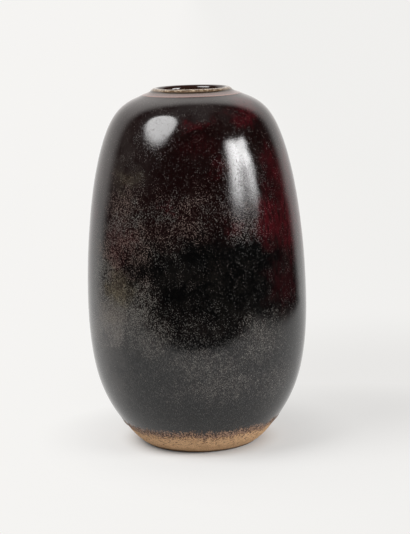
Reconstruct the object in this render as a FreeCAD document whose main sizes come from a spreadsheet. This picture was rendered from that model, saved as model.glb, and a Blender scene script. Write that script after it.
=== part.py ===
"""Wheel-thrown stoneware vase of meiping form, glazed inside and out. Lengths are in millimetres.

The pot stands on Z = 0 and its axis is Z. It is put together as a potter builds one of this
height: a lower and an upper section thrown apart and luted at the belly, a thrown neck ring luted
into a stepped seat in the shoulder, a coat of glaze outside that stops short of the foot, and a
liner glaze inside.
"""
import FreeCAD, Part
import math
import os
import Sketcher
from types import SimpleNamespace

SIZES = {
    # the clay wall and its glaze
    "shoulder_height": 391.5,  # from the foot to the clay at the edge of the neck ring's seat
    "belly_radius": 122.8,  # widest radius of the clay, without its glaze
    "wall": 7.0,  # clay, from the belly to the shoulder
    "base_wall": 8.5,  # clay, where the wall rises from the floor
    "floor": 9.5,  # clay, under the inside of the pot
    "glaze": 0.7,  # each of the two coats
    # the turned foot
    "foot_radius": 64.0,  # outer edge of the ring that the pot stands on
    "foot_ring": 11.0,  # width of that ring
    "recess_depth": 4.0,
    "recess_slope": 2.5,  # how far the side of the recess leans in
    "bevel_run": 2.2,  # bevel round the foot, across
    "bevel_rise": 1.8,  # bevel round the foot, up
    "flare_run": 8.8,  # how the wall leaves the bevel, across
    "flare_rise": 5.2,  # how the wall leaves the bevel, up
    # the joint of the two thrown sections
    "joint_height": 165.0,
    "tongue_width": 2.5,
    "tongue_height": 3.0,
    "slip": 0.5,  # thickness of the slip in every joint
    # the neck ring and its seat, from the bore outwards
    "throat_radius": 36.0,  # glazed bore of the neck
    "throat_round": 2.5,  # rounding of the clay at the lower end of the bore
    "spigot_wall": 6.8,
    "seat_width": 10.6,
    "seat_depth": 3.0,  # below the clay at the edge of the seat
    "seat_wall": 5.5,  # clay left under the seat
    "ridge_rise": 1.6,  # glazed edge of the ring, above the clay at the edge of the seat
    "neck_rise": 8.5,  # glazed crown of the lip, above the clay at the edge of the seat
    "lip_inner_round": 4.0,  # glazed lip, from the bore to the crown
    "lip_outer_round": 6.2,  # glazed lip, from the crown outwards
    "collar_hollow": 40.0,  # radius of the hollow between lip and ridge
    # the lower edge of the outer glaze
    "glaze_line": 23.5,
    "drip": 1.3,  # how far its longest wave reaches from that line
    "overrun": 5.0,  # how far a cut runs past what it cuts
}

# The outside of the clay wall is one spline from the foot to the seat. Each row is a control point:
# its radius as a share of belly_radius, its height as a share of shoulder_height, and how far it
# shifts, across and up, for a parallel curve that lies one unit further out.
WALL_SHARES = (
    (0.737, 0.071, 0.84, -0.56),
    (0.936, 0.171, 0.97, -0.30),
    (1.026, 0.371, 1.01, -0.01),
    (0.958, 0.702, 0.99, 0.12),
    (0.800, 0.909, 0.97, 0.36),
    (0.649, 0.981, 0.70, 0.80),
)
# The same shifts for the spline's first two points and for its last
FOOT_SHIFT_SHARES = (0.53, -0.86)
FLARE_SHIFT_SHARES = (0.73, -0.70)
SEAT_SHIFT_SHARES = (0.29, 0.97)
# Control points of the floor inside, as shares of belly_radius
FLOOR_SHARES = (0.56, 0.30)
# How far out the lip's outer round reaches, as a share of its radius
LIP_REACH_SHARE = 0.89
# How far an edge of the ring sinks under a coat, as a share of the coat
EDGE_SHARE = 0.75
# Waves in the glaze's lower edge: how many go round, and the share of the drip that each takes
DRIP_SHARES = ((9, 1.0), (23, 0.8), (41, 0.6))
POINTS_PER_WAVE = 6

SPLINE_DEGREE = 3
SAME_PLACE = 1e-6  # two places nearer than this, in mm, are one

# The numbers by which a sketch's constraints name its two axes and the points of a curve
LEVEL_AXIS_INDEX = -1
UPRIGHT_AXIS_INDEX = -2
START_INDEX = 1
END_INDEX = 2
CENTRE_INDEX = 3
SKETCH_ORIGIN = (LEVEL_AXIS_INDEX, START_INDEX)


class Size:
    """A length, with its value and the expression that binds it to the sheet."""

    def __init__(self, value, text):
        self.value = value
        self.text = text

    def __add__(self, other):
        return Size(self.value + other.value, f"({self.text} + {other.text})")

    def __sub__(self, other):
        return Size(self.value - other.value, f"({self.text} - {other.text})")

    def __mul__(self, share):
        return Size(self.value * share, f"({self.text} * {share})")


def vector(place):
    return FreeCAD.Vector(place[0], place[1], 0)


def values(point):
    return (point[0].value, point[1].value)


class Outline:
    """A profile in a body's XZ plane, drawn as with a pen: across is the radius, up the height."""

    def __init__(self, body, name):
        self.sketch = body.newObject("Sketcher::SketchObject", name)
        plane = next(item for item in body.Origin.OriginFeatures if item.Role == "XZ_Plane")
        self.sketch.AttachmentSupport = [(plane, "")]
        self.sketch.MapMode = "FlatFace"

    def tie(self, kind, *corners):
        ends = [number for corner in corners for number in corner]
        return self.sketch.addConstraint(Sketcher.Constraint(kind, *ends))

    def measure(self, kind, ends, size):
        """A dimension that the sheet drives."""
        number = self.sketch.addConstraint(Sketcher.Constraint(kind, *ends, size.value))
        self.sketch.setExpression(f"Constraints[{number}]", size.text)

    def bind_across(self, corner, size):
        if size is ZERO:
            self.tie("PointOnObject", corner, (UPRIGHT_AXIS_INDEX,))
        else:
            self.measure("DistanceX", SKETCH_ORIGIN + corner, size)

    def bind_up(self, corner, size):
        if size is ZERO:
            self.tie("PointOnObject", corner, (LEVEL_AXIS_INDEX,))
        else:
            self.measure("DistanceY", SKETCH_ORIGIN + corner, size)

    def bind(self, corner, point):
        self.bind_across(corner, point[0])
        self.bind_up(corner, point[1])

    def put_down(self, point):
        """Starts a chain of curves at a point."""
        self.begin = point
        self.first = None
        self.last = None
        self.place = values(point)

    def follow(self, near, far, place):
        """Joins a new curve to the chain and moves the pen to its far end."""
        if self.last:
            self.tie("Coincident", self.last, near)
        else:
            self.first = near
            self.bind(near, self.begin)
        self.last = far
        self.place = place

    def line(self, point):
        edge = Part.LineSegment(vector(self.place), vector(values(point)))
        curve = self.sketch.addGeometry(edge)
        self.follow((curve, START_INDEX), (curve, END_INDEX), values(point))
        self.bind(self.last, point)

    def spline(self, points):
        """A clamped spline with even knots. The pen's place is its first pole."""
        poles = [vector(self.place)] + [vector(values(point)) for point in points]
        spans = len(poles) - SPLINE_DEGREE
        knots = [index / spans for index in range(spans + 1)]
        counts = [SPLINE_DEGREE + 1] + [1] * (spans - 1) + [SPLINE_DEGREE + 1]
        edge = Part.BSplineCurve()
        edge.buildFromPolesMultsKnots(poles, counts, knots, False, SPLINE_DEGREE)
        curve = self.sketch.addGeometry(edge)
        self.sketch.exposeInternalGeometry(curve)
        self.follow((curve, START_INDEX), (curve, END_INDEX), values(points[-1]))
        first_pole = curve + 1
        for pole, point in enumerate(points, first_pole + 1):
            self.bind((pole, CENTRE_INDEX), point)

    def arc(self, centre, radius, begin, finish):
        """Part of a circle from one angle to another, either way round."""
        circle = Part.Circle(vector(centre), FreeCAD.Vector(0, 0, 1), radius.value)
        edge = Part.ArcOfCircle(circle, min(begin, finish), max(begin, finish))
        curve = self.sketch.addGeometry(edge)
        across = centre[0] + radius.value * math.cos(finish)
        up = centre[1] + radius.value * math.sin(finish)
        ends = [(curve, START_INDEX), (curve, END_INDEX)]
        if finish < begin:
            ends.reverse()
        self.follow(*ends, (across, up))
        self.measure("Radius", (curve,), radius)
        return (curve, CENTRE_INDEX)

    def quarter(self, radius, finish):
        """A quarter turn, with its centre straight out from the pen, to the top or the bottom."""
        near = self.last
        middle = self.arc((self.place[0] + radius.value, self.place[1]), radius, math.pi, finish)
        if near is None:
            near = self.first
        self.tie("Horizontal", near, middle)
        self.tie("Vertical", self.last, middle)

    def fall(self, radius, across):
        """An arc outwards and down, with its centre straight under the pen."""
        near = self.last
        centre = (self.place[0], self.place[1] - radius.value)
        finish = math.acos((across.value - centre[0]) / radius.value)
        middle = self.arc(centre, radius, math.pi / 2, finish)
        self.tie("Vertical", near, middle)
        self.bind_across(self.last, across)

    def hollow(self, radius, point):
        """An arc outwards to a point, hollow side up."""
        run = point[0].value - self.place[0]
        rise = point[1].value - self.place[1]
        chord = math.hypot(run, rise)
        sag = math.sqrt(radius.value ** 2 - (chord / 2) ** 2) / chord
        centre = (self.place[0] + run / 2 - rise * sag, self.place[1] + rise / 2 + run * sag)
        turn = 2 * math.pi
        begin = math.atan2(self.place[1] - centre[1], self.place[0] - centre[0]) % turn
        finish = math.atan2(point[1].value - centre[1], point[0].value - centre[0]) % turn
        self.arc(centre, radius, begin, finish)
        self.bind(self.last, point)

    def bridge(self, near, far):
        """A line between two corners that are fixed already."""
        ends = [self.sketch.getPoint(*corner) for corner in (near, far)]
        curve = self.sketch.addGeometry(Part.LineSegment(*ends))
        self.tie("Coincident", near, (curve, START_INDEX))
        self.tie("Coincident", (curve, END_INDEX), far)

    def close(self):
        self.bridge(self.last, self.first)


doc = FreeCAD.newDocument("meiping_vase")
sheet = doc.addObject("Spreadsheet::Sheet", "sizes")
for row, (name, length) in enumerate(SIZES.items(), 1):
    sheet.set(f"A{row}", name)
    sheet.set(f"B{row}", str(length))
    sheet.setAlias(f"B{row}", name)
doc.recompute()

mm = SimpleNamespace(**{name: Size(sheet.get(name), f"sizes.{name}") for name in SIZES})
ZERO = Size(0.0, "0")

# Places and sizes that follow from the driving ones
floor_top = mm.recess_depth + mm.floor
foot_inner = mm.foot_radius - mm.foot_ring
bevel_top = (mm.foot_radius + mm.bevel_run, mm.bevel_rise)
bore = mm.throat_radius + mm.glaze
spigot_radius = bore + mm.spigot_wall
hole_radius = spigot_radius + mm.slip
seat_radius = hole_radius + mm.seat_width
flange_radius = seat_radius - mm.slip
seat_height = mm.shoulder_height - mm.seat_depth
hole_height = seat_height - mm.seat_wall
crown_height = mm.shoulder_height + mm.neck_rise
bore_top = crown_height - mm.lip_inner_round


def new_body(label):
    body = doc.addObject("PartDesign::Body", label)
    body.Label = label
    body.Placement = FreeCAD.Placement()
    return body


def spin(body, kind, name, outline):
    """Turns an outline once round the pot's axis, to add it to a body or to cut it away."""
    doc.recompute()
    before = body.Shape.Volume if body.Tip else None
    feature = body.newObject(kind, name)
    feature.Profile = outline.sketch
    feature.ReferenceAxis = (outline.sketch, ["V_Axis"])
    feature.Angle = 360
    doc.recompute()
    if before and feature.Shape.Volume >= before:
        raise RuntimeError(f"{name} cut nothing")
    return feature


def shifted(point, shares, outward):
    return (point[0] + outward * shares[0], point[1] + outward * shares[1])


def outer_poles(outward):
    """Control points, from the foot to the seat, of a curve that lies so far outside the clay."""
    flare = (bevel_top[0] + mm.flare_run, bevel_top[1] + mm.flare_rise)
    poles = [shifted(bevel_top, FOOT_SHIFT_SHARES, outward), shifted(flare, FLARE_SHIFT_SHARES, outward)]
    for across, up, *shift in WALL_SHARES:
        poles.append(shifted((mm.belly_radius * across, mm.shoulder_height * up), shift, outward))
    return poles + [shifted((seat_radius, mm.shoulder_height), SEAT_SHIFT_SHARES, outward)]


def inner_poles(coat):
    """Control points inside the pot, from the shoulder down to the middle of the floor."""
    poles = []
    for across, up, *shift in WALL_SHARES:
        depth = (mm.wall if poles else mm.base_wall) + coat
        poles.append(shifted((mm.belly_radius * across, mm.shoulder_height * up), shift, ZERO - depth))
    poles.reverse()
    poles += [(mm.belly_radius * share, floor_top + coat) for share in FLOOR_SHARES]
    return poles + [(ZERO, floor_top + coat)]


def draw_wall(body):
    """The clay of both thrown sections as one pot, with its foot turned and its seat cut."""
    outline = Outline(body, f"{body.Name}_wall_profile")
    outline.put_down((hole_radius, hole_height))
    outline.spline(inner_poles(ZERO))
    outline.line((ZERO, mm.recess_depth))
    outline.line((foot_inner - mm.recess_slope, mm.recess_depth))
    outline.line((foot_inner, ZERO))
    outline.line((mm.foot_radius, ZERO))
    outline.line(bevel_top)
    outline.spline(outer_poles(ZERO)[1:])
    outline.line((seat_radius, seat_height))
    outline.line((hole_radius, seat_height))
    outline.close()
    return outline


def draw_joint_cut(body, name, gap, far):
    """What lies beyond one face of the tongue and groove joint, as far as a height."""
    middle = mm.belly_radius - mm.wall * 0.5
    inner = middle - mm.tongue_width * 0.5 - gap
    outer = middle + mm.tongue_width * 0.5 + gap
    level = mm.joint_height + gap
    outline = Outline(body, name)
    outline.put_down((ZERO, level))
    outline.line((inner, level))
    outline.line((inner, level + mm.tongue_height))
    outline.line((outer, level + mm.tongue_height))
    outline.line((outer, level))
    outline.line((mm.belly_radius + mm.overrun, level))
    outline.line((mm.belly_radius + mm.overrun, far))
    outline.line((ZERO, far))
    outline.close()
    return outline


def make_wall_piece(label, under=None, over=None):
    """A length of the clay wall, cut off at the joint's face that has the gap given."""
    body = new_body(label)
    spin(body, "PartDesign::Revolution", f"{label}_thrown", draw_wall(body))
    if under:
        cut = draw_joint_cut(body, f"{label}_top_profile", under, mm.shoulder_height + mm.overrun)
        spin(body, "PartDesign::Groove", f"{label}_top", cut)
    if over:
        cut = draw_joint_cut(body, f"{label}_bottom_profile", over, ZERO)
        spin(body, "PartDesign::Groove", f"{label}_bottom", cut)
    return body


def draw_neck(outline, depth):
    """From the bore over the lip and the collar to the ridge, at a depth under the glazed surface."""
    outline.put_down((mm.throat_radius + depth, bore_top))
    outline.quarter(mm.lip_inner_round - depth, math.pi / 2)
    outer_round = mm.lip_outer_round - depth
    crown_radius = mm.throat_radius + mm.lip_inner_round
    outline.fall(outer_round, crown_radius + outer_round * LIP_REACH_SHARE)
    ridge_height = mm.shoulder_height + mm.ridge_rise - depth * EDGE_SHARE
    outline.hollow(mm.collar_hollow, (flange_radius + mm.glaze - depth, ridge_height))


def ring_edge(shape, radius, level):
    """The name of the circular edge with this radius at this height."""
    for number, edge in enumerate(shape.Edges, 1):
        if not isinstance(edge.Curve, Part.Circle):
            continue
        off_radius = abs(edge.Curve.Radius - radius.value)
        off_level = abs(edge.Curve.Center.z - level.value)
        if max(off_radius, off_level) < SAME_PLACE:
            return f"Edge{number}"
    raise RuntimeError(f"no edge of radius {radius.value} at {level.value}")


def make_neck_ring():
    """Collar and lip, thrown as one ring whose spigot and flange sit in the shoulder."""
    body = new_body("neck_ring")
    outline = Outline(body, "neck_ring_profile")
    draw_neck(outline, mm.glaze)
    outline.line((flange_radius, seat_height + mm.slip))
    outline.line((spigot_radius, seat_height + mm.slip))
    outline.line((spigot_radius, hole_height))
    outline.line((bore, hole_height))
    outline.close()
    thrown = spin(body, "PartDesign::Revolution", "neck_ring_thrown", outline)
    softened = body.newObject("PartDesign::Fillet", "neck_ring_softened")
    softened.Base = (thrown, [ring_edge(thrown.Shape, bore, hole_height)])
    softened.setExpression("Radius", mm.throat_round.text)
    return body


def make_neck_slip():
    """Slip that fills the stepped seat under and round the neck ring."""
    body = new_body("neck_luting_slip")
    outline = Outline(body, "neck_luting_slip_profile")
    outline.put_down((spigot_radius, hole_height))
    outline.line((hole_radius, hole_height))
    outline.line((hole_radius, seat_height))
    outline.line((seat_radius, seat_height))
    outline.line((seat_radius, mm.shoulder_height))
    outline.line((flange_radius, mm.shoulder_height))
    outline.line((flange_radius, seat_height + mm.slip))
    outline.line((spigot_radius, seat_height + mm.slip))
    outline.close()
    spin(body, "PartDesign::Revolution", "neck_luting_slip_ring", outline)
    return body


def draw_bare_band():
    """What the outer glaze leaves bare: all below a wavy line round the foot."""
    points = max(count for count, share in DRIP_SHARES) * POINTS_PER_WAVE
    total = sum(share for count, share in DRIP_SHARES)
    edges = []
    for radius in (foot_inner.value, mm.belly_radius.value + mm.overrun.value):
        line = []
        for point in range(points):
            angle = 2 * math.pi * point / points
            wave = sum(share * math.sin(count * angle + count) for count, share in DRIP_SHARES)
            up = mm.glaze_line.value + mm.drip.value * wave / total
            line.append(FreeCAD.Vector(radius * math.cos(angle), radius * math.sin(angle), up))
        curve = Part.BSplineCurve()
        curve.interpolate(Points=line, PeriodicFlag=True)
        edges.append(curve.toShape())
    reach = mm.glaze_line.value + mm.overrun.value
    return Part.makeRuledSurface(*edges).extrude(FreeCAD.Vector(0, 0, -reach))


def make_outer_glaze():
    """The outer coat over both sections, the ridge, the collar and the lip."""
    body = new_body("outer_coat")
    outline = Outline(body, "outer_coat_profile")
    draw_neck(outline, mm.glaze)
    outline.line((flange_radius, mm.shoulder_height))
    outline.line((seat_radius, mm.shoulder_height))
    outline.spline(outer_poles(ZERO)[-2::-1])
    clay_ends = (outline.first, outline.last)
    draw_neck(outline, ZERO)
    poles = outer_poles(mm.glaze)
    outline.line(poles[-1])
    outline.spline(poles[-2::-1])
    outline.bridge(clay_ends[0], outline.first)
    outline.bridge(clay_ends[1], outline.last)
    spin(body, "PartDesign::Revolution", "outer_coat_spun", outline)
    bare_band = doc.addObject("Part::Feature", "bare_band")
    bare_band.Shape = draw_bare_band()
    coat = doc.addObject("Part::Cut", "outer_glaze")
    coat.Label = "outer_glaze"
    coat.Base = body
    coat.Tool = bare_band
    coat.Placement = FreeCAD.Placement()
    return coat


def draw_inside(outline, coat):
    """From the top of the bore down to the middle of the floor, at the clay or on its coat."""
    outline.put_down((bore - coat, bore_top))
    outline.line((bore - coat, hole_height + mm.throat_round))
    outline.quarter(mm.throat_round + coat, math.pi * 3 / 2)
    outline.line((hole_radius, hole_height - coat))
    outline.spline(inner_poles(coat))


def make_liner_glaze():
    """The coat inside: up the bore of the neck to the lip, where it meets the outer coat."""
    body = new_body("liner_glaze")
    outline = Outline(body, "liner_glaze_profile")
    draw_inside(outline, ZERO)
    clay_ends = (outline.first, outline.last)
    draw_inside(outline, mm.glaze)
    outline.bridge(clay_ends[0], outline.first)
    outline.bridge(clay_ends[1], outline.last)
    spin(body, "PartDesign::Revolution", "liner_glaze_spun", outline)
    return body


pieces = [
    make_wall_piece("base_section", under=ZERO),
    make_wall_piece("shoulder_section", over=mm.slip),
    make_wall_piece("body_luting_slip", under=mm.slip, over=ZERO),
    make_neck_ring(),
    make_neck_slip(),
    make_outer_glaze(),
    make_liner_glaze(),
]
doc.recompute()

for item in doc.Objects:
    if "Invalid" in item.State or "Error" in item.State:
        raise RuntimeError(f"{item.Name} did not recompute: {item.State}")
for piece in pieces:
    shape = piece.Shape
    if shape.isNull() or not shape.isValid() or len(shape.Solids) != 1:
        raise RuntimeError(f"{piece.Label} is not one valid solid")

os.makedirs("parts", exist_ok=True)
for piece in pieces:
    piece.Shape.exportStep(f"parts/{piece.Label}.step")
    box = piece.Shape.BoundBox
    print(f"{piece.Label}: {piece.Shape.Volume:.0f} mm3, Z {box.ZMin:.2f} to {box.ZMax:.2f}, X {box.XMax:.2f}")
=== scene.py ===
import bisect
import functools
import math

import bmesh
import bpy
from mathutils import Matrix, Vector, noise


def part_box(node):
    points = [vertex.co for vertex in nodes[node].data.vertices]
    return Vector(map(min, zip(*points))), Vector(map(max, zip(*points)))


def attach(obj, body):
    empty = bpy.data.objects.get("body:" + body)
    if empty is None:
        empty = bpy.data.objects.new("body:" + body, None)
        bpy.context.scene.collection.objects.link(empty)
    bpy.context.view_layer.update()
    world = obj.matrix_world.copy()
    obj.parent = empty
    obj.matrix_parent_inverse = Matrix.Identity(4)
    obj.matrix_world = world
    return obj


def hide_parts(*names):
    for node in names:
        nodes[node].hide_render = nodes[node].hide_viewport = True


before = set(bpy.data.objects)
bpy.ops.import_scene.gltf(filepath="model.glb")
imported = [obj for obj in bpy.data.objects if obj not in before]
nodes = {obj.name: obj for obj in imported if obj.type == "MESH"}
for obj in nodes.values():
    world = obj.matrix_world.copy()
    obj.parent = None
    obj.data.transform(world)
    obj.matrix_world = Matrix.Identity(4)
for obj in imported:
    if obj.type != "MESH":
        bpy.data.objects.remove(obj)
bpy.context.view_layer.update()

# The view
# A long lens stands 1.7 m in front of the pot and a little above its mouth, and looks down on it.
# It is tipped slightly, so the pot leans to the left a little.
scene = bpy.context.scene
scene.view_settings.view_transform = "Standard"
lens = bpy.data.cameras.new("camera")
lens.lens = 105.44
eye = Vector((0, -1.737, 0.514))
look_down = math.radians(10.33)
look_right = math.radians(0.322)
tip = math.radians(-1.575)
camera = bpy.data.objects.new("camera", lens)
aim = (
    Matrix.Rotation(-look_right, 4, "Z")
    @ Matrix.Rotation(math.pi / 2 - look_down, 4, "X")
    @ Matrix.Rotation(tip, 4, "Z")
)
camera.matrix_world = Matrix.Translation(eye) @ aim
scene.collection.objects.link(camera)
scene.camera = camera

# The clay
# Buff stoneware body with fine sand in it, fired hard and left matte. It shows as it is on the foot.
# The neck ring and the upper section are of the same clay, under the glaze.
mm = 0.001
sand_depth = 0.12 * mm


def put(tree, kind, sockets=None, **settings):
    """A node of a finish, with its settings, and each socket set to a value or fed by another node."""
    node = tree.nodes.new(kind)
    for name, value in settings.items():
        setattr(node, name, value)
    for name, value in (sockets or {}).items():
        if isinstance(value, bpy.types.NodeSocket):
            tree.links.new(value, node.inputs[name])
        else:
            node.inputs[name].default_value = value
    return node


def maths(tree, operation, *values):
    return put(tree, "ShaderNodeMath", dict(enumerate(values)), operation=operation).outputs[0]


def vectors(tree, operation, *values):
    """Sums with places and directions. Lengths and distances come out as Value."""
    return put(tree, "ShaderNodeVectorMath", dict(enumerate(values)), operation=operation).outputs


def fade(tree, value, low, high):
    """Nought below one value, one above another, and an even change between them."""
    sockets = {"Value": value, "From Min": low, "From Max": high}
    return put(tree, "ShaderNodeMapRange", sockets, interpolation_type="SMOOTHSTEP").outputs[0]


def tint(tree, share, under, over):
    """One colour laid over another."""
    sockets = {0: share, 6: under, 7: over}
    return put(tree, "ShaderNodeMix", sockets, data_type="RGBA").outputs[2]


def cloud(tree, place, size, detail=2.0, roughness=0.6, stretch=(1, 1, 1)):
    """Uneven cloudiness from nought to one, with spots of a size in millimetres."""
    scale = [1 / (size * along) for along in stretch]
    spread = vectors(tree, "MULTIPLY", place, scale)[0]
    sockets = {"Vector": spread, "Scale": 1.0, "Detail": detail, "Roughness": roughness}
    return put(tree, "ShaderNodeTexNoise", sockets)


def new_effect(name, inputs, outputs):
    """A shader group that several finishes use, with its named inputs and outputs."""
    tree = bpy.data.node_groups.new(name, "ShaderNodeTree")
    for label, value in inputs.items():
        kind = "NodeSocketFloat"
        if isinstance(value, tuple):
            kind = "NodeSocketColor" if len(value) == 4 else "NodeSocketVector"
        tree.interface.new_socket(label, in_out="INPUT", socket_type=kind).default_value = value
    for label, kind in outputs.items():
        tree.interface.new_socket(label, in_out="OUTPUT", socket_type=kind)
    return tree, put(tree, "NodeGroupInput").outputs, put(tree, "NodeGroupOutput").inputs


def use(tree, effect, sockets):
    return put(tree, "ShaderNodeGroup", sockets, node_tree=effect).outputs


def new_finish(name):
    """A material, its tree, its shader, and the place on the object in millimetres."""
    finish = bpy.data.materials.new(name)
    finish.use_nodes = True
    tree = finish.node_tree
    shader = tree.nodes["Principled BSDF"]
    where = put(tree, "ShaderNodeTexCoord").outputs["Object"]
    place = put(tree, "ShaderNodeVectorMath", {0: where, "Scale": 1 / mm}, operation="SCALE")
    return finish, tree, shader, place.outputs[0]


sandy_grain, given, made = new_effect(
    "sandy grain",
    {"Place": (0, 0, 0), "Light": (0.5, 0.4, 0.3, 1), "Dark": (0.3, 0.2, 0.1, 1), "Grain": 0.8},
    {"Colour": "NodeSocketColor", "Relief": "NodeSocketFloat"},
)
closer = maths(sandy_grain, "DIVIDE", 1.0, given["Grain"])
grain_place = put(
    sandy_grain, "ShaderNodeVectorMath", {0: given["Place"], "Scale": closer}, operation="SCALE"
).outputs[0]
sand = cloud(sandy_grain, grain_place, 1.0, detail=3.0).outputs["Fac"]
patchy = cloud(sandy_grain, given["Place"], 5.0, detail=3.0, stretch=(1.6, 1.6, 1)).outputs["Fac"]
body_colour = tint(sandy_grain, fade(sandy_grain, sand, 0.32, 0.68), given["Dark"], given["Light"])
worn = maths(sandy_grain, "MULTIPLY", fade(sandy_grain, patchy, 0.45, 0.65), 0.45)
body_colour = tint(sandy_grain, worn, body_colour, given["Dark"])
sandy_grain.links.new(body_colour, made["Colour"])
sandy_grain.links.new(sand, made["Relief"])

clay_finish, tree, shader, place = new_finish("bare stoneware")
clay = use(tree, sandy_grain, {
    "Place": place, "Light": (0.50, 0.315, 0.165, 1), "Dark": (0.33, 0.185, 0.085, 1), "Grain": 0.9,
})
clay_relief = put(tree, "ShaderNodeBump", {
    "Strength": 0.5, "Distance": sand_depth, "Height": clay["Relief"],
})
tree.links.new(clay["Colour"], shader.inputs["Base Color"])
tree.links.new(clay_relief.outputs[0], shader.inputs["Normal"])
shader.inputs["Roughness"].default_value = 0.85
shader.inputs["Specular IOR Level"].default_value = 0.3
for name in ("shoulder_section", "neck_ring"):
    nodes[name].data.materials.clear()
    nodes[name].data.materials.append(clay_finish)

# Lower section, with its turned foot
# Thrown as a wide bowl with a thick floor. When it was leather hard its foot was trimmed on the wheel,
# with a ring, a shallow recess under it and a small bevel, and a band of wall above was left bare.
shoulder_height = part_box("shoulder_section")[1].z
belly_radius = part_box("base_section")[1].x
wall = 7.0 * mm
base_wall = 8.5 * mm
floor_top = 13.5 * mm
foot_radius = 64.0 * mm
foot_inner = 53.0 * mm
joint_height = 165.0 * mm
tongue_width = 2.5 * mm
tongue_height = 3.0 * mm
seat_radius = 54.6 * mm
steps_round = 512
# Corners of the drawn outline, each a radius and a height
recess = (50.5 * mm, 4.0 * mm)
bevel_top = (66.2 * mm, 1.8 * mm)
flare = (75.0 * mm, 7.0 * mm)
under_shoulder = (44.0 * mm, 383.0 * mm)
# The marks of the turning tool
edge_bevel = 0.45 * mm
tooled_up_to = 30 * mm
tool_line_gap = 1.3 * mm
tool_line_depth = 0.10 * mm
wobble_depth = 0.08 * mm
lifted_at = 6.4 * mm
lifted_depth = 0.15 * mm
# The height at which the outer glaze stops, and how far its edge strays
glaze_line = 24.4 * mm
wave_depth = 2.4 * mm
teeth_depth = 3.4 * mm
fine_depth = 1.8 * mm
run_depth = 7.0 * mm
# Points that steer the wall: radius and height as shares, and which way a parallel line shifts
wall_shares = (
    (0.737, 0.071, 0.84, -0.56),
    (0.936, 0.171, 0.97, -0.30),
    (1.026, 0.371, 1.01, -0.01),
    (0.958, 0.702, 0.99, 0.12),
    (0.800, 0.909, 0.97, 0.36),
    (0.649, 0.981, 0.70, 0.80),
)


def smooth_line(points, fineness=120):
    """A smooth line that the points steer, as places close together along it."""
    pen = bpy.data.curves.new("pen", "CURVE")
    pen.dimensions = "3D"
    spline = pen.splines.new("NURBS")
    spline.points.add(len(points) - 1)
    for point, (across, up) in zip(spline.points, points):
        point.co = (across, 0, up, 1)
    spline.order_u = 4
    spline.use_endpoint_u = True
    spline.resolution_u = fineness
    holder = bpy.data.objects.new("pen", pen)
    drawn = bpy.data.meshes.new_from_object(holder)
    line = [(vertex.co.x, vertex.co.z) for vertex in drawn.vertices]
    bpy.data.objects.remove(holder)
    bpy.data.curves.remove(pen)
    bpy.data.meshes.remove(drawn)
    return line


def outer_line(coat):
    """The wall's outside from the foot to the neck's seat, or the surface of a coat on it."""
    points = [
        (bevel_top[0] + 0.53 * coat, bevel_top[1] - 0.86 * coat),
        (flare[0] + 0.73 * coat, flare[1] - 0.70 * coat),
    ]
    for radius, height, across, up in wall_shares:
        points.append((belly_radius * radius + across * coat, shoulder_height * height + up * coat))
    points.append((seat_radius + 0.29 * coat, shoulder_height + 0.97 * coat))
    return smooth_line(points)


def inner_line(coat):
    """The wall's inside from the middle of the floor to the shoulder, or the surface of a coat on it."""
    points = [(0, floor_top + coat)]
    points += [(belly_radius * share, floor_top + coat) for share in (0.30, 0.56)]
    for radius, height, across, up in wall_shares:
        depth = coat + (wall if len(points) > 3 else base_wall)
        points.append((belly_radius * radius - across * depth, shoulder_height * height - up * depth))
    points.append((under_shoulder[0], under_shoulder[1] - coat))
    return smooth_line(points)


def radius_at(line, height):
    """How far from the axis a rising line is at a height."""
    number = bisect.bisect_left(line, height, key=lambda place: place[1])
    number = min(max(number, 1), len(line) - 1)
    (near, low), (far, high) = line[number - 1], line[number]
    return near + (far - near) * (height - low) / (high - low)


def stretch_of(line, low, high, gap):
    """The part of a rising line between two heights, as places about a gap apart."""
    places = [(radius_at(line, low), low)]
    for place in line:
        if low < place[1] < high - gap / 3 and math.dist(place, places[-1]) >= gap:
            places.append(place)
    return places + [(radius_at(line, high), high)]


def outline_of(places, closed=True):
    """A mesh that is just the drawn outline, ready to be turned on the wheel."""
    shape = bmesh.new()
    corners = [shape.verts.new((across, 0, up)) for across, up in places]
    pairs = zip(corners, corners[1:] + corners[:1] if closed else corners[1:])
    for near, far in pairs:
        shape.edges.new((near, far))
    return shape


def turn(shape, steps):
    """Turns the outline once round the axis into a closed skin."""
    bmesh.ops.spin(
        shape, geom=shape.verts[:] + shape.edges[:], cent=(0, 0, 0), axis=(0, 0, 1), dvec=(0, 0, 0),
        angle=math.tau, steps=steps, use_merge=True, use_normal_flip=False, use_duplicate=False,
    )
    bmesh.ops.remove_doubles(shape, verts=shape.verts, dist=0.001 * mm)
    bmesh.ops.recalc_face_normals(shape, faces=shape.faces)


def finished(shape, name, finish, node):
    """Makes the shape a piece that stands for a node of the solid model."""
    mesh = bpy.data.meshes.new(name)
    shape.to_mesh(mesh)
    shape.free()
    mesh.shade_smooth()
    mesh.set_sharp_from_angle(angle=math.radians(50))
    mesh.materials.append(finish)
    piece = bpy.data.objects.new(name, mesh)
    scene.collection.objects.link(piece)
    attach(piece, "root")
    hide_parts(node)
    return piece


@functools.cache
def edge_at_step(step):
    """Height at which the outer glaze stops: slow waves, ragged teeth and a few longer runs."""
    angle = math.tau * step / steps_round
    ring = Vector((math.cos(angle), math.sin(angle), 0))
    slow = noise.noise(ring * 2.5) * wave_depth
    teeth = noise.noise(ring * 12 + Vector((0, 0, 7))) * teeth_depth
    fine = noise.noise(ring * 29 + Vector((0, 0, 3))) * fine_depth
    run = max(0.0, noise.noise(ring * 12 + Vector((0, 0, 11))) - 0.2) * run_depth
    return glaze_line + slow + teeth + fine - run


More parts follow.
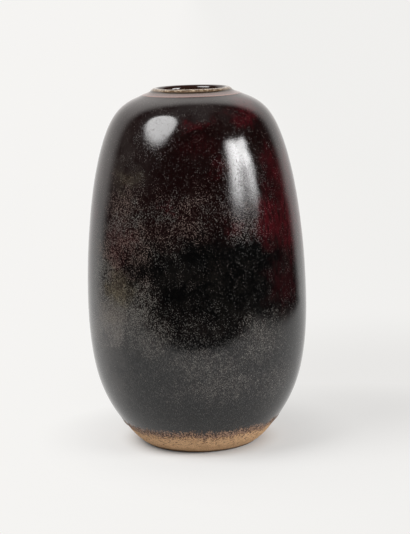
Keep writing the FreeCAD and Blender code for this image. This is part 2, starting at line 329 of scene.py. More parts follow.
def glaze_edge(corner):
    """The same, at the side of the pot that a corner of a piece is on."""
    turned_by = math.atan2(corner.co.y, corner.co.x) / math.tau
    return edge_at_step(round(turned_by * steps_round) % steps_round)


clay_outside = outer_line(0)
clay_inside = inner_line(0)
middle_of_wall = belly_radius - wall / 2
tongue_top = joint_height + tongue_height
foot_places = [(0, recess[1]), (recess[0] / 2, recess[1]), recess, (foot_inner, 0), (foot_radius, 0)]
# Close rows where the marks of the tool show, and wide ones under the glaze
foot_places += stretch_of(clay_outside, bevel_top[1], 34 * mm, 0.8 * mm)
foot_places += stretch_of(clay_outside, 38 * mm, joint_height, 8 * mm)
foot_places += [
    (middle_of_wall + tongue_width / 2, joint_height),
    (middle_of_wall + tongue_width / 2, tongue_top),
    (middle_of_wall - tongue_width / 2, tongue_top),
    (middle_of_wall - tongue_width / 2, joint_height),
]
foot_places += reversed(stretch_of(clay_inside, floor_top + 0.01 * mm, joint_height, 10 * mm))
foot_places.append((0, floor_top))

lower = outline_of(foot_places, closed=False)
turn(lower, steps_round)
# The corners of the foot ring and its recess, wiped with a wet sponge
foot_edges = [
    edge for edge in lower.edges
    if max(corner.co.z for corner in edge.verts) < 5 * mm and edge.calc_face_angle(0) > math.radians(20)
    and edge.verts[0].co.xy.length > 30 * mm
]
bmesh.ops.bevel(
    lower, geom=foot_edges, offset=edge_bevel, segments=2, profile=0.5, affect="EDGES", material=-1,
    clamp_overlap=True,
)
for corner in lower.verts:
    height = corner.co.z
    radius = corner.co.xy.length
    if not (1.2 * mm < height < tooled_up_to and radius > radius_at(clay_outside, height) - 1.0 * mm):
        continue
    # Lines that the turning tool left, with a broader step where it was lifted
    shown = min(1.0, (tooled_up_to - height) / (8 * mm))
    lines = noise.noise(Vector((0, 0, height / tool_line_gap))) - 1.0
    wobble = noise.noise(corner.co / (9 * mm)) - 1.0
    lifted = math.exp(-((height - lifted_at) / (0.7 * mm)) ** 2)
    depth = tool_line_depth * lines + wobble_depth * wobble - lifted_depth * lifted
    corner.co.xy *= 1 + depth * shown / radius
below_glaze = [(glaze_edge(corner) - corner.co.z) / mm for corner in lower.verts]

splashed_rust = (0.10, 0.042, 0.022, 1)
rust_brown = (0.070, 0.028, 0.015, 1)
# Brown of the painted shade at the foot's lower edge
contact_shade_brown = (0.075, 0.038, 0.016, 1)
foot_finish, tree, shader, place = new_finish("foot clay")
clay = use(tree, sandy_grain, {
    "Place": place, "Light": (0.78, 0.515, 0.30, 1), "Dark": (0.45, 0.265, 0.135, 1), "Grain": 0.9,
})
colour = clay["Colour"]
height = put(tree, "ShaderNodeSeparateXYZ", {0: place}).outputs["Z"]
below = put(tree, "ShaderNodeAttribute", attribute_name="below_glaze").outputs["Fac"]
# Rust that the glaze's edge drew out of the clay, and spots of it that splashed lower down
ragged = cloud(tree, place, 2.2, detail=3.0, roughness=0.7, stretch=(1, 1, 0.8)).outputs["Fac"]
reach = maths(tree, "MULTIPLY_ADD", ragged, -44.0, 20.0)
rust = fade(tree, maths(tree, "ADD", below, reach), 1.2, -0.6)
spot_noise = cloud(tree, place, 3.4, detail=2.0, roughness=0.5, stretch=(1, 1, 0.45)).outputs["Fac"]
spot_zone = maths(tree, "MULTIPLY", fade(tree, height, 6.0, 11.0), fade(tree, height, 22.0, 15.0))
spots = maths(tree, "MULTIPLY", fade(tree, spot_noise, 0.60, 0.64), spot_zone)
colour = tint(tree, maths(tree, "MULTIPLY", spots, 0.85), colour, splashed_rust)
colour = tint(tree, maths(tree, "MULTIPLY", rust, 0.9), colour, rust_brown)
# Painted shade along the lowest few millimetres of the foot, darkest at its edge, where it meets the
# floor
contact_shade = maths(tree, "MULTIPLY", fade(tree, height, 3.4, 1.0), 0.85)
colour = tint(tree, contact_shade, colour, contact_shade_brown)
turned = cloud(tree, place, 1.1, detail=2.0, stretch=(30, 30, 1)).outputs["Fac"]
uneven = maths(tree, "MULTIPLY_ADD", turned, 0.8, clay["Relief"])
foot_relief = put(tree, "ShaderNodeBump", {"Strength": 0.6, "Distance": sand_depth, "Height": uneven})
tree.links.new(colour, shader.inputs["Base Color"])
tree.links.new(maths(tree, "MULTIPLY_ADD", rust, -0.3, 0.85), shader.inputs["Roughness"])
tree.links.new(foot_relief.outputs[0], shader.inputs["Normal"])
shader.inputs["Specular IOR Level"].default_value = 0.3

foot = finished(lower, "turned_base", foot_finish, "base_section")
reading = foot.data.attributes.new("below_glaze", "FLOAT", "POINT")
reading.data.foreach_set("value", below_glaze)

# The two joints
# Slip, the clay's own slurry, fills the tongue and groove at the belly and the seat under the neck ring.
# It was scored in wet and fired with the pot, and it can't be seen from outside.
slip_finish, tree, shader, place = new_finish("fired slip")
slip = use(tree, sandy_grain, {
    "Place": place, "Light": (0.46, 0.30, 0.17, 1), "Dark": (0.36, 0.22, 0.12, 1), "Grain": 0.4,
})
slip_relief = put(tree, "ShaderNodeBump", {
    "Strength": 0.3, "Distance": 0.05 * mm, "Height": slip["Relief"],
})
tree.links.new(slip["Colour"], shader.inputs["Base Color"])
tree.links.new(slip_relief.outputs[0], shader.inputs["Normal"])
shader.inputs["Roughness"].default_value = 0.9
for name in ("body_luting_slip", "neck_luting_slip"):
    nodes[name].data.materials.clear()
    nodes[name].data.materials.append(slip_finish)

# Glaze inside the pot
# Brown liner glaze, poured in, swilled round and poured out, so that it coats the floor, the wall and
# the bore of the neck up to the lip. It is glossy, with paler flecks where it ran thin.
coat = 0.7 * mm
bore_top = 396.0 * mm
throat_middle = (39.2 * mm, 385.5 * mm)
throat_round = 2.5 * mm


def arc(middle, radius, begin, finish, count):
    """Places along part of a circle."""
    angles = [begin + (finish - begin) * step / count for step in range(count + 1)]
    return [
        (middle[0] + radius * math.cos(angle), middle[1] + radius * math.sin(angle)) for angle in angles
    ]


def inside_of_pot(coat, gap, count):
    """From the middle of the floor up the wall and the bore to the lip."""
    line = inner_line(coat)
    places = [(0, floor_top + coat)]
    places += stretch_of(line, floor_top + coat + 0.01 * mm, line[-1][1], gap)
    places += arc(throat_middle, throat_round + coat, math.pi * 3 / 2, math.pi, count)
    return places + [(throat_middle[0] - throat_round - coat, bore_top)]


# Grains drawn out down the wall. The higher their share, the more of them show.
glaze_flecks, given, made = new_effect(
    "glaze flecks",
    {"Place": (0, 0, 0), "Width": 1.2, "Length": 2.6, "Share": 0.5},
    {"Flecks": "NodeSocketFloat", "Relief": "NodeSocketFloat"},
)
across = maths(glaze_flecks, "DIVIDE", 1.0, given["Width"])
down = maths(glaze_flecks, "DIVIDE", 1.0, given["Length"])
size = put(glaze_flecks, "ShaderNodeCombineXYZ", {0: across, 1: across, 2: down}).outputs[0]
drawn_out = vectors(glaze_flecks, "MULTIPLY", given["Place"], size)[0]
grains = put(glaze_flecks, "ShaderNodeTexVoronoi", {"Vector": drawn_out, "Scale": 1.0})
grain_chance = put(glaze_flecks, "ShaderNodeSeparateColor", {0: grains.outputs["Color"]}).outputs[0]
drift = cloud(glaze_flecks, given["Place"], 7.0, detail=4.0, stretch=(1, 1, 2.0)).outputs["Fac"]
bar = maths(glaze_flecks, "MULTIPLY_ADD", given["Share"], -0.95, 1.60)
bar = maths(glaze_flecks, "MULTIPLY_ADD", drift, -1.3, bar)
chosen = fade(glaze_flecks, maths(glaze_flecks, "SUBTRACT", grain_chance, bar), -0.15, 0.45)
grain_shape = fade(glaze_flecks, grains.outputs["Distance"], 0.74, 0.30)
flecks = maths(glaze_flecks, "MULTIPLY", chosen, grain_shape)
flicker = cloud(glaze_flecks, given["Place"], 0.8, detail=2.0, stretch=(1, 1, 1.5)).outputs["Fac"]
brightness = maths(glaze_flecks, "MULTIPLY_ADD", fade(glaze_flecks, flicker, 0.36, 0.64), 1.5, 0.30)
flecks = maths(glaze_flecks, "MULTIPLY", flecks, brightness)
glaze_flecks.links.new(flecks, made["Flecks"])
glaze_flecks.links.new(flicker, made["Relief"])

thick_brown = (0.012, 0.005, 0.004, 1)
thin_brown = (0.045, 0.02, 0.012, 1)
honey_fleck = (0.17, 0.12, 0.06, 1)
liner_finish, tree, shader, place = new_finish("liner glaze")
fleck = use(tree, glaze_flecks, {"Place": place, "Width": 1.3, "Length": 1.9, "Share": 0.4})
thin = cloud(tree, place, 18.0, detail=3.0).outputs["Fac"]
colour = tint(tree, fade(tree, thin, 0.35, 0.7), thick_brown, thin_brown)
colour = tint(tree, maths(tree, "MULTIPLY", fleck["Flecks"], 0.6), colour, honey_fleck)
liner_relief = put(tree, "ShaderNodeBump", {
    "Strength": 0.25, "Distance": 0.1 * mm, "Height": fleck["Relief"],
})
tree.links.new(colour, shader.inputs["Base Color"])
tree.links.new(maths(tree, "MULTIPLY_ADD", fleck["Flecks"], 0.2, 0.12), shader.inputs["Roughness"])
tree.links.new(liner_relief.outputs[0], shader.inputs["Normal"])

liner_places = inside_of_pot(coat, 4 * mm, 8) + inside_of_pot(0, 9 * mm, 4)[::-1]
liner_skin = outline_of(liner_places, closed=False)
turn(liner_skin, steps_round // 2)
finished(liner_skin, "inside_glaze", liner_finish, "liner_glaze")

# Glaze outside the pot
# Thick iron glaze over both sections, the ridge, the collar and the rolled lip. It melted to a glossy
# near-black with red flushes and fine pale flecks drawn down the wall, and stopped short of the foot.
lip_middle = 40.0 * mm
crown_height = 400.0 * mm
lip_inner_round = 4.0 * mm
lip_outer_round = 6.2 * mm
lip_end = math.acos(0.89)
collar_radius = 40.0 * mm
ridge_radius = 54.8 * mm
ridge_height = 393.1 * mm
fringe = 16 * mm
throwing_gap = 17 * mm
throwing_depth = 0.07 * mm
lobe_height = 120 * mm
lobe_depth = 0.16 * mm
bead_height = 1.6 * mm
bead_width = 1.8 * mm
bead_depth = 0.25 * mm
pit_depth = 0.12 * mm
crystal_gap = 7.0
# Colours in the glaze, from its thickest black to the palest fleck
cool_black = (0.0012, 0.0011, 0.0011, 1)
warm_black = (0.0042, 0.0010, 0.0010, 1)
blue_black = (0.0040, 0.0042, 0.0048, 1)
mottled_black = (0.0054, 0.0046, 0.0040, 1)
mottled_brown = (0.0068, 0.0030, 0.0028, 1)
haze_brown = (0.017, 0.0125, 0.0115, 1)
veil_brown = (0.019, 0.0095, 0.0085, 1)
oxblood = (0.038, 0.0034, 0.0050, 1)
# Grey of the dusting, and of a painted sheen high on the shoulder
dust_and_sheen_grey = (0.036, 0.033, 0.032, 1)
mist_grey = (0.072, 0.069, 0.068, 1)
rosy_grey = (0.088, 0.073, 0.068, 1)
olive_grey = (0.075, 0.062, 0.040, 1)
red_fleck = (0.12, 0.03, 0.035, 1)
olive_fleck = (0.13, 0.105, 0.06, 1)
grey_fleck = (0.125, 0.120, 0.108, 1)
warm_fleck = (0.15, 0.11, 0.094, 1)
low_fleck = (0.132, 0.124, 0.111, 1)
crystal = (0.22, 0.19, 0.16, 1)
# Colours where it is thin over the clay, on the neck and at its lower edge, with painted shade and light
# on the neck
shade_under_ridge_black = (0.004, 0.0025, 0.0025, 1)
bore_brown = (0.016, 0.007, 0.005, 1)
shade_under_lip_brown = (0.020, 0.014, 0.007, 1)
rusty_edge = (0.042, 0.020, 0.012, 1)
lip_brown = (0.085, 0.052, 0.028, 1)
lip_buff = (0.33, 0.25, 0.17, 1)
collar_rose_and_reflection = (0.105, 0.060, 0.053, 1)
ridge_rose_and_highlight = (0.22, 0.125, 0.105, 1)
bare_clay = (0.42, 0.26, 0.175, 1)


def over_the_neck(depth, counts):
    """From the bore over the lip and the hollow collar to the ridge, at a depth in the glaze."""
    inner, outer, hollow = counts
    places = arc((lip_middle, bore_top), lip_inner_round - depth, math.pi, math.pi / 2, inner)
    outer_middle = (lip_middle, crown_height - lip_outer_round)
    places += arc(outer_middle, lip_outer_round - depth, math.pi / 2, lip_end, outer)[1:]
    start = Vector(places[-1])
    end = Vector((ridge_radius - depth, ridge_height - 0.75 * depth))
    chord = end - start
    lift = math.sqrt(collar_radius ** 2 - (chord.length / 2) ** 2)
    middle = (start + end) / 2 + Vector((-chord.y, chord.x)).normalized() * lift
    begin = math.atan2(start.y - middle.y, start.x - middle.x)
    finish = math.atan2(end.y - middle.y, end.x - middle.x)
    return places + arc(middle, collar_radius, begin, finish, hollow)[1:]


glaze_surface = outer_line(coat)
surface_top = glaze_surface[-1][1]
neck_places = over_the_neck(0, (9, 8, 14))
# Close rows down at the ragged edge, wider ones up the wall, and few on the side against the clay
wall_places = stretch_of(glaze_surface, 52 * mm, surface_top, 5.4 * mm)
low_places = stretch_of(glaze_surface, glaze_line, 51 * mm, 1.0 * mm)
clay_places = stretch_of(clay_outside, glaze_line, 50 * mm, 3.0 * mm)
clay_places += stretch_of(clay_outside, 62 * mm, shoulder_height, 24 * mm)
neck_clay = over_the_neck(coat, (4, 4, 4))
outside = neck_places + [(ridge_radius, ridge_height - 0.4 * mm)] + wall_places[::-1] + low_places[::-1]
rim_middle = ((low_places[0][0] + clay_places[0][0]) / 2, glaze_line)
rim_reach = (low_places[0][0] - clay_places[0][0]) / 2
rim_places = arc(rim_middle, rim_reach, 0, -math.pi, 4)[1:-1]
hidden = clay_places + [(neck_clay[-1][0], shoulder_height)] + neck_clay[::-1]

coat_skin = outline_of(outside + rim_places + hidden)
# Glaze pools in the corners under the ridge and softens them
neck_corners = [
    corner for corner in coat_skin.verts[:len(outside)]
    if 44 * mm < corner.co.x < 56 * mm and corner.co.z > surface_top - 0.5 * mm
]
for softening in range(3):
    bmesh.ops.smooth_vert(
        coat_skin, verts=neck_corners, factor=0.5, use_axis_x=True, use_axis_y=True, use_axis_z=True,
    )
turn(coat_skin, steps_round)
for corner in coat_skin.verts:
    height = corner.co.z
    radius = corner.co.xy.length
    if height > surface_top - 2 * mm:
        continue
    angle = math.atan2(corner.co.y, corner.co.x)
    edge = glaze_edge(corner)
    depth = radius_at(glaze_surface, height) - radius
    # Near its lower edge the coat is drawn out into teeth and runs, with a fat rounded edge
    pull = max(0.0, 1 - (height - glaze_line) / fringe)
    height += (edge - glaze_line) * pull ** 2
    radius = radius_at(glaze_surface, height) - depth
    skin = max(0.0, 1 - depth / coat)
    # Throwing rings and the slow unevenness of a pot shaped by hand, seen in its reflections
    rings = noise.noise(Vector((0, 0, height / throwing_gap))) - 1.0
    lobes = noise.noise(Vector((math.cos(angle), math.sin(angle), height / lobe_height)) * 1.4) - 1.0
    bead = math.exp(-((height - edge - bead_height) / bead_width) ** 2)
    radius += (throwing_depth * rings + lobe_depth * lobes + bead_depth * bead) * skin
    corner.co = (radius * math.cos(angle), radius * math.sin(angle), height)
above_edge = [(corner.co.z - glaze_edge(corner)) / mm for corner in coat_skin.verts]

# A patch that is full in its middle and thins out to nothing past its reach
soft_patch, given, made = new_effect(
    "soft patch",
    {"Place": (0, 0, 0), "Middle": (0, 0, 0), "Reach": (30, 30, 30)},
    {"Patch": "NodeSocketFloat"},
)
offset = vectors(soft_patch, "SUBTRACT", given["Place"], given["Middle"])[0]
shared_out = vectors(soft_patch, "DIVIDE", offset, given["Reach"])[0]
away = vectors(soft_patch, "LENGTH", shared_out)["Value"]
soft_patch.links.new(fade(soft_patch, away, 1.3, 0.25), made["Patch"])

glaze_finish, tree, shader, place = new_finish("iron glaze")
# Places drift to and fro, which gives the patches their uneven edges
wander_noise = cloud(tree, place, 26.0, detail=4.0, roughness=0.65, stretch=(1, 1, 0.8))
wander = vectors(tree, "SUBTRACT", wander_noise.outputs["Color"], (0.5, 0.5, 0.5))[0]
wander = put(tree, "ShaderNodeVectorMath", {0: wander, "Scale": 60.0}, operation="SCALE").outputs[0]
drifted = vectors(tree, "ADD", place, wander)[0]


def patches(places):
    """Soft patches on the wall: degrees round from the front, height, and reach across and up, in mm."""
    union = None
    for side, height, across, up, strength in places:
        radius = radius_at(glaze_surface, height * mm) / mm
        turned_by = math.radians(side)
        middle = (radius * math.sin(turned_by), -radius * math.cos(turned_by), height)
        patch = use(tree, soft_patch, {"Place": drifted, "Middle": middle, "Reach": (across, across, up)})
        share = maths(tree, "MULTIPLY", patch["Patch"], strength)
        union = maths(tree, "MAXIMUM", union, share) if union else share
    return union


red = patches((
    (44, 260, 27, 30, 1.0),
    (62, 262, 30, 54, 1.0),
    (82, 262, 32, 62, 1.0),
    (74, 312, 24, 40, 0.9),
    (56, 304, 24, 40, 0.8),
    (42, 372, 24, 12, 0.8),
    (56, 384, 24, 13, 1.0),
    (3, 364, 18, 7, 0.6),
    (15, 323, 16, 9, 0.35),
    (6, 342, 34, 12, 0.14),
    (-44, 240, 24, 36, 0.35),
    (-80, 250, 28, 90, 0.45),
    (21, 257, 14, 8, 0.5),
    (-17, 286, 9, 9, 0.6),
    (51, 190, 30, 34, 0.3),
    (125, 300, 40, 45, 0.8),
    (175, 240, 45, 30, 0.6),
    (-130, 330, 45, 30, 0.7),
    (-95, 270, 25, 40, 0.4),
    (160, 360, 40, 18, 0.6),
))
veil = patches((
    (-40, 262, 36, 60, 0.62),
    (-30, 244, 30, 30, 0.5),
    (-6, 274, 50, 34, 0.36),
    (27, 257, 26, 24, 0.36),
    (-52, 200, 42, 70, 0.8),
    (-46, 180, 30, 27, 1.0),
    (-29, 184, 26, 24, 0.75),
    (-62, 140, 30, 20, 0.8),
    (-14, 241, 26, 11, 0.35),
    (-34, 164, 30, 22, 0.9),
    (-48, 155, 38, 30, 1.0),
    (-30, 146, 50, 32, 0.65),
    (-8, 156, 80, 26, 0.18),
    (4, 112, 60, 18, 0.5),
    (34, 140, 42, 30, 0.54),
    (10, 88, 60, 22, 0.5),
    (45, 80, 40, 30, 0.35),
    (100, 250, 60, 60, 0.7),
    (150, 170, 70, 50, 0.6),
    (-120, 220, 60, 60, 0.7),
    (-175, 320, 60, 40, 0.5),
))
olive = patches((
    (-44, 191, 22, 20, 0.8),
    (-52, 160, 30, 14, 0.2),
    (-40, 310, 20, 14, 0.4),
    (140, 220, 30, 25, 0.6),
))
haze = patches((
    (-46, 322, 42, 46, 1.0),
    (-42, 348, 32, 26, 0.9),
    (-30, 372, 40, 16, 0.4),
    (110, 190, 60, 50, 0.7),
    (-150, 250, 60, 60, 0.7),
))
dusting_and_sheen = patches((
    (-62, 138, 42, 62, 1.0),
    (-56, 96, 40, 52, 0.9),
    (74, 184, 26, 50, 0.7),
    # Painted reflection: a faint pale sheen at the top of the shoulder, beside the round lamp's highlight
    (-4, 380, 50, 16, 0.28),
    (-150, 130, 60, 60, 0.8),
))
rosy = patches((
    (-50, 157, 30, 20, 1.0),
    (-44, 192, 16, 14, 0.5),
    (130, 150, 40, 24, 0.7),
))
orange_peel = patches((
    (28, 290, 36, 66, 0.9),
    (-27, 350, 26, 24, 0.75),
    (-100, 300, 60, 60, 0.4),
))

# The flecks crowd together in the veil, and are few in the black
height = put(tree, "ShaderNodeSeparateXYZ", {0: place}).outputs["Z"]
fleck_share = maths(tree, "MULTIPLY_ADD", veil, 0.74, 0.21)
fleck_share = maths(tree, "MULTIPLY_ADD", orange_peel, 0.24, fleck_share)
fleck = use(tree, glaze_flecks, {"Place": place, "Width": 0.8, "Length": 1.25, "Share": fleck_share})
streak = cloud(tree, place, 2.4, detail=3.0, roughness=0.6, stretch=(1, 1, 6)).outputs["Fac"]
mottle = cloud(tree, place, 22.0, detail=4.0, roughness=0.6).outputs["Fac"]
hue = cloud(tree, place, 30.0, detail=3.0, roughness=0.6).outputs["Fac"]

# Layer on layer: black, red flushes, blue-black low down, haze, mist, dust with a painted sheen, veil and
# then the flecks
warm = fade(tree, maths(tree, "MULTIPLY_ADD", mottle, 60.0, height), 262.0, 292.0)
ground = tint(tree, warm, cool_black, warm_black)
mottle_tone = tint(tree, warm, mottled_black, mottled_brown)
colour = tint(tree, fade(tree, mottle, 0.44, 0.74), ground, mottle_tone)
flush = maths(tree, "MULTIPLY", red, fade(tree, streak, 0.25, 0.62))
colour = tint(tree, flush, colour, oxblood)
low_down = fade(tree, maths(tree, "MULTIPLY_ADD", mottle, 30.0, height), 160.0, 120.0)
low_down = maths(tree, "MULTIPLY", low_down, fade(tree, height, 40.0, 85.0))
colour = tint(tree, maths(tree, "MULTIPLY", low_down, 0.7), colour, blue_black)
hazy = maths(tree, "MULTIPLY", haze, fade(tree, mottle, 0.28, 0.56))
colour = tint(tree, hazy, colour, haze_brown)
mist = cloud(tree, place, 1.1, detail=4.0, roughness=0.75, stretch=(1, 1, 2.0)).outputs["Fac"]
misty = maths(tree, "MULTIPLY", fade(tree, mist, 0.52, 0.64), fade(tree, height, 160.0, 120.0))
colour = tint(tree, maths(tree, "MULTIPLY", misty, 0.85), colour, mist_grey)
dusty_and_sheen = maths(tree, "MULTIPLY", dusting_and_sheen, fade(tree, mottle, 0.25, 0.55))
colour = tint(tree, dusty_and_sheen, colour, dust_and_sheen_grey)
colour = tint(tree, maths(tree, "MULTIPLY", rosy, 0.5), colour, rosy_grey)
veiled = maths(tree, "MULTIPLY", veil, fade(tree, streak, 0.3, 0.7))
colour = tint(tree, maths(tree, "MULTIPLY", veiled, 0.6), colour, veil_brown)
pale = tint(tree, fade(tree, hue, 0.40, 0.60), grey_fleck, warm_fleck)
lower_down = fade(tree, maths(tree, "MULTIPLY_ADD", mottle, 30.0, height), 235.0, 195.0)
pale = tint(tree, lower_down, pale, low_fleck)
pale = tint(tree, olive, pale, olive_fleck)
pale = tint(tree, maths(tree, "MULTIPLY", flush, 0.7), pale, red_fleck)
fleck_strength = maths(tree, "MULTIPLY_ADD", veil, 0.95, 0.18)
fleck_strength = maths(tree, "MULTIPLY_ADD", low_down, 0.16, fleck_strength)
fleck_strength = maths(tree, "MULTIPLY_ADD", orange_peel, -0.08, fleck_strength)
colour = tint(tree, maths(tree, "MULTIPLY", fleck["Flecks"], fleck_strength), colour, pale)
colour = tint(tree, maths(tree, "MULTIPLY", olive, 0.36), colour, olive_grey)

# A few larger pale crystals float in the glaze, most of them low down
stars = put(tree, "ShaderNodeTexVoronoi", {"Vector": place, "Scale": 1 / crystal_gap})
chance = put(tree, "ShaderNodeSeparateColor", {0: stars.outputs["Color"]}).outputs[0]
star_size = maths(tree, "MULTIPLY", chance, 0.10)
star = fade(tree, maths(tree, "SUBTRACT", stars.outputs["Distance"], star_size), 0.03, -0.03)
star = maths(tree, "MULTIPLY", star, maths(tree, "MULTIPLY_ADD", low_down, 0.4, 0.08))
colour = tint(tree, star, colour, crystal)

# The coat is thin on the lip, the collar and the ridge, where the warm clay comes through, and painted
# light and shade are laid on the neck
level = vectors(tree, "MULTIPLY", place, (1, 1, 0))[0]
across = vectors(tree, "LENGTH", level)["Value"]
rough_edge = cloud(tree, place, 2.5, detail=2.0).outputs["Fac"]
spread = maths(tree, "MULTIPLY_ADD", maths(tree, "SUBTRACT", rough_edge, 0.5), 1.6, across)
on_neck = fade(tree, height, 391.9, 393.0)
# Pale rose on the collar: partly the thin glaze over the clay, partly a painted reflection of the pale
# overhead light on this upward-facing slope
collar = maths(tree, "MULTIPLY", on_neck, fade(tree, spread, 56.0, 54.5))
colour = tint(tree, maths(tree, "MULTIPLY", collar, 0.9), colour, collar_rose_and_reflection)
inside_lip = fade(tree, across, 40.3, 39.5)
colour = tint(tree, maths(tree, "MULTIPLY", inside_lip, on_neck), colour, bore_brown)
# Painted shade: a dark band under the rolled lip, below its widest point, where it meets the collar
shade_under_lip = maths(tree, "MULTIPLY", fade(tree, spread, 44.3, 45.2), fade(tree, spread, 48.5, 46.6))
shade_under_lip = maths(tree, "MULTIPLY", shade_under_lip, fade(tree, height, 394.3, 395.3))
colour = tint(tree, maths(tree, "MULTIPLY", shade_under_lip, 0.9), colour, shade_under_lip_brown)
crown = maths(tree, "MULTIPLY", fade(tree, spread, 45.3, 44.3), fade(tree, across, 39.4, 40.4))
crown = maths(tree, "MULTIPLY", crown, on_neck)
lip_tone = tint(tree, fade(tree, rough_edge, 0.46, 0.68), lip_brown, lip_buff)
colour = tint(tree, crown, colour, lip_tone)
# Pale rose line along the ridge's top: partly the glaze breaking thin over its edge, partly a painted
# highlight where the edge catches the light
ridge_break_and_highlight = maths(tree, "MULTIPLY", fade(tree, across, 52.4, 53.6), fade(tree, height, 392.2, 392.7))
colour = tint(tree, maths(tree, "MULTIPLY", ridge_break_and_highlight, 0.6), colour, ridge_rose_and_highlight)
# Painted shade: a dark line in the corner just under the ridge
shade_under_ridge = maths(tree, "MULTIPLY", fade(tree, height, 391.0, 391.8), fade(tree, across, 54.9, 55.1))
shade_under_ridge = maths(tree, "MULTIPLY", shade_under_ridge, fade(tree, across, 57.5, 56.0))
colour = tint(tree, maths(tree, "MULTIPLY", shade_under_ridge, 0.9), colour, shade_under_ridge_black)

# Just above its lower edge the thin glaze lets flecks of the clay show and turns rusty
above = put(tree, "ShaderNodeAttribute", attribute_name="above_edge").outputs["Fac"]
thin_noise = cloud(tree, place, 1.7, detail=3.0, roughness=0.7, stretch=(1, 1, 1.6)).outputs["Fac"]
fringe_noise = cloud(tree, place, 3.0, detail=3.0, roughness=0.7).outputs["Fac"]
thinned = fade(tree, maths(tree, "MULTIPLY_ADD", fringe_noise, 16.0, above), 17.0, 10.0)
colour = tint(tree, thinned, colour, rusty_edge)
bare_bar = maths(tree, "MULTIPLY_ADD", above, 0.014, 0.445)
bare_fleck = fade(tree, maths(tree, "SUBTRACT", thin_noise, bare_bar), -0.02, 0.06)
bare_fleck = maths(tree, "MULTIPLY", bare_fleck, fade(tree, above, 11.0, 5.0))
colour = tint(tree, maths(tree, "MULTIPLY", bare_fleck, 0.8), colour, bare_clay)

# The surface is slightly pitted, most where the flecks and the orange peel are
peel = cloud(tree, place, 1.4, detail=1.0, roughness=0.5, stretch=(1, 1, 1.2)).outputs["Fac"]
relief = maths(tree, "MULTIPLY_ADD", maths(tree, "MULTIPLY", peel, orange_peel), 0.6, fleck["Relief"])
unevenness = maths(tree, "MULTIPLY_ADD", maths(tree, "MAXIMUM", veil, orange_peel), 0.6, 0.22)
glaze_relief = put(tree, "ShaderNodeBump", {
    "Strength": unevenness, "Distance": pit_depth, "Height": relief,
})
fleck_dullness = maths(tree, "MULTIPLY_ADD", orange_peel, 0.16, 0.26)
dull = maths(tree, "MULTIPLY_ADD", fleck["Flecks"], fleck_dullness, 0.09)
dull = maths(tree, "MULTIPLY_ADD", thinned, 0.7, dull)
tree.links.new(colour, shader.inputs["Base Color"])
tree.links.new(dull, shader.inputs["Roughness"])
tree.links.new(glaze_relief.outputs[0], shader.inputs["Normal"])
shader.inputs["Specular IOR Level"].default_value = 0.43
shader.inputs["IOR"].default_value = 1.52

glaze = finished(coat_skin, "outside_glaze", glaze_finish, "outer_glaze")
reading = glaze.data.attributes.new("above_edge", "FLOAT", "POINT")
reading.data.foreach_set("value", above_edge)

# Where the pot stands
# A wide, pale, seamless paper. Its near edge is cut off half a metre in front, which the glossy glaze
# mirrors as the line between its grey lower third and the dark room.
paper_white = (0.55, 0.545, 0.54, 1)
left_paper = (0.915, 0.905, 0.888, 1)
# The paper's right side is painted darker as shade, and a patch behind the pot as a shadow
shaded_right_paper = (0.875, 0.868, 0.852, 1)
painted_shadow_paper = (0.80, 0.79, 0.775, 1)
unlit = (0.015, 0.015, 0.015, 1)
to_backdrop = (-0.1, 1.0, 0.0)
shadow_side = (0.14, 0.04, 0)
painted_shadow_corner = (0.25, 0.25, 0)
paper_reach = 60.0
paper_shape = bmesh.new()
bmesh.ops.create_circle(paper_shape, cap_ends=True, segments=96, radius=paper_reach)
bmesh.ops.translate(paper_shape, verts=paper_shape.verts, vec=(0, 0, -0.2 * mm))
paper_mesh = bpy.data.meshes.new("paper")
paper_shape.to_mesh(paper_mesh)
paper_shape.free()
paper = bpy.data.objects.new("paper", paper_mesh)
scene.collection.objects.link(paper)

paper_finish = bpy.data.materials.new("paper")
paper_finish.use_nodes = True
paper_mesh.materials.append(paper_finish)
tree = paper_finish.node_tree
shader = tree.nodes["Principled BSDF"]
shader.inputs["Base Color"].default_value = paper_white
shader.inputs["Roughness"].default_value = 0.9
shader.inputs["Specular IOR Level"].default_value = 0.1
spot = put(tree, "ShaderNodeTexCoord").outputs["Object"]
sides = put(tree, "ShaderNodeSeparateXYZ", {0: spot}).outputs
ray = put(tree, "ShaderNodeLightPath").outputs
distance = vectors(tree, "LENGTH", spot)["Value"]
to_shadow = vectors(tree, "DISTANCE", spot, shadow_side)["Value"]
# Seen or mirrored, the paper is as pale as the backdrop, but for the pot's shadow and painted shade on
# its right side
seen = maths(tree, "MAXIMUM", ray["Is Camera Ray"], ray["Is Glossy Ray"])
far_off = maths(tree, "MULTIPLY", fade(tree, distance, 0.058, 0.095), 0.48)
far_off = maths(tree, "MULTIPLY_ADD", fade(tree, distance, 0.085, 0.20), 0.27, far_off)
far_off = maths(tree, "MULTIPLY_ADD", fade(tree, to_shadow, 0.13, 0.42), 0.33, far_off)
far_off = maths(tree, "MULTIPLY_ADD", fade(tree, sides["Y"], 0.05, 0.28), 0.25, far_off)
far_off = maths(tree, "MULTIPLY", far_off, seen)
paper_tone = tint(tree, fade(tree, sides["X"], -0.3, 0.5), left_paper, shaded_right_paper)
# A soft round painted shadow darkens the paper to the right of and behind the pot
to_painted_shadow = vectors(tree, "DISTANCE", spot, painted_shadow_corner)["Value"]
painted_shadow_share = maths(tree, "MULTIPLY", fade(tree, to_painted_shadow, 0.45, 0.05), 0.85)
paper_tone = tint(tree, painted_shadow_share, paper_tone, painted_shadow_paper)
even = put(tree, "ShaderNodeEmission", {"Color": paper_tone, "Strength": 1.0}).outputs[0]
surface = put(tree, "ShaderNodeMixShader", {0: far_off, 1: shader.outputs[0], 2: even}).outputs[0]
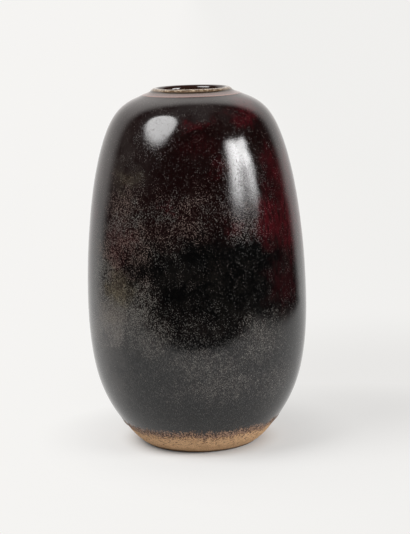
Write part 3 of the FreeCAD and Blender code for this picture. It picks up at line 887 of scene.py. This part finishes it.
# In the glaze's reflections it ends at its near edge, and the dark room shows beyond it
dark_room = put(tree, "ShaderNodeEmission", {"Color": unlit, "Strength": 1.0}).outputs[0]
between = maths(tree, "MULTIPLY", fade(tree, sides["X"], -1.1, -0.8), fade(tree, sides["X"], 0.80, 0.62))
from_pot = vectors(tree, "NORMALIZE", spot)[0]
behind = vectors(tree, "DOT_PRODUCT", from_pot, to_backdrop)["Value"]
laid = maths(tree, "MAXIMUM", between, fade(tree, behind, 0.40, 0.64))
laid = maths(tree, "MULTIPLY", laid, fade(tree, sides["Y"], -0.47, -0.43))
off_paper = maths(tree, "MULTIPLY", maths(tree, "SUBTRACT", 1.0, laid), ray["Is Glossy Ray"])
surface = put(tree, "ShaderNodeMixShader", {0: off_paper, 1: surface, 2: dark_room}).outputs[0]
tree.links.new(surface, tree.nodes["Material Output"].inputs["Surface"])

# The light
# A pale backdrop stands all across the back, which the glaze mirrors along its sides and shoulder.
# Two soft lamps stand in front, a round one high on the left and a panel in three parts on the right.
backdrop = (0.895, 0.885, 0.87, 1)
mirrored_wall = (1.0, 0.96, 0.935, 1)
mirrored_top = (1.4, 1.34, 1.30, 1)
round_lamp_light = 12.8
panel_light = 20.5
lamp_distance = 1.5
aimed_at = Vector((0, 0, 0.3))
world = bpy.data.worlds.new("room")
scene.world = world
world.use_nodes = True
tree = world.node_tree
direction = put(tree, "ShaderNodeTexCoord").outputs["Generated"]
facing = vectors(tree, "DOT_PRODUCT", direction, to_backdrop)["Value"]
at_back = fade(tree, facing, 0.36, 0.62)
overhead = fade(tree, put(tree, "ShaderNodeSeparateXYZ", {0: direction}).outputs["Z"], 0.35, 0.7)
wall_tone = tint(tree, overhead, mirrored_wall, mirrored_top)
room = tint(tree, at_back, unlit, wall_tone)
is_seen = put(tree, "ShaderNodeLightPath").outputs["Is Camera Ray"]
tree.links.new(tint(tree, is_seen, room, backdrop), tree.nodes["Background"].inputs["Color"])


def hang_lamp(name, azimuth, elevation, size, radiance, shape="RECTANGLE", roll=0.0):
    """A soft lamp turned to the pot's middle. Azimuth is from straight behind, positive to the right."""
    lamp = bpy.data.lights.new(name, "AREA")
    lamp.shape = shape
    lamp.size, lamp.size_y = size
    lamp.energy = radiance * math.pi * size[0] * size[1] * (math.pi / 4 if shape == "ELLIPSE" else 1)
    around = math.radians(azimuth)
    up = math.radians(elevation)
    way = Vector((math.sin(around) * math.cos(up), math.cos(around) * math.cos(up), math.sin(up)))
    hung = bpy.data.objects.new(name, lamp)
    facing_pot = way.to_track_quat("Z", "Y").to_matrix().to_4x4()
    hung.matrix_world = (
        Matrix.Translation(aimed_at + way * lamp_distance)
        @ facing_pot
        @ Matrix.Rotation(math.radians(roll), 4, "Z")
    )
    hung.visible_camera = False
    scene.collection.objects.link(hung)


hang_lamp("round lamp", -123, 49.5, (0.92, 1.06), round_lamp_light, shape="ELLIPSE", roll=33)
hang_lamp("panel, wide part", 130.5, 19.5, (0.27, 0.62), panel_light)
hang_lamp("panel, narrow part", 112, 13.5, (0.18, 0.36), panel_light)
hang_lamp("panel, top part", 118, 23.5, (0.44, 0.31), panel_light)
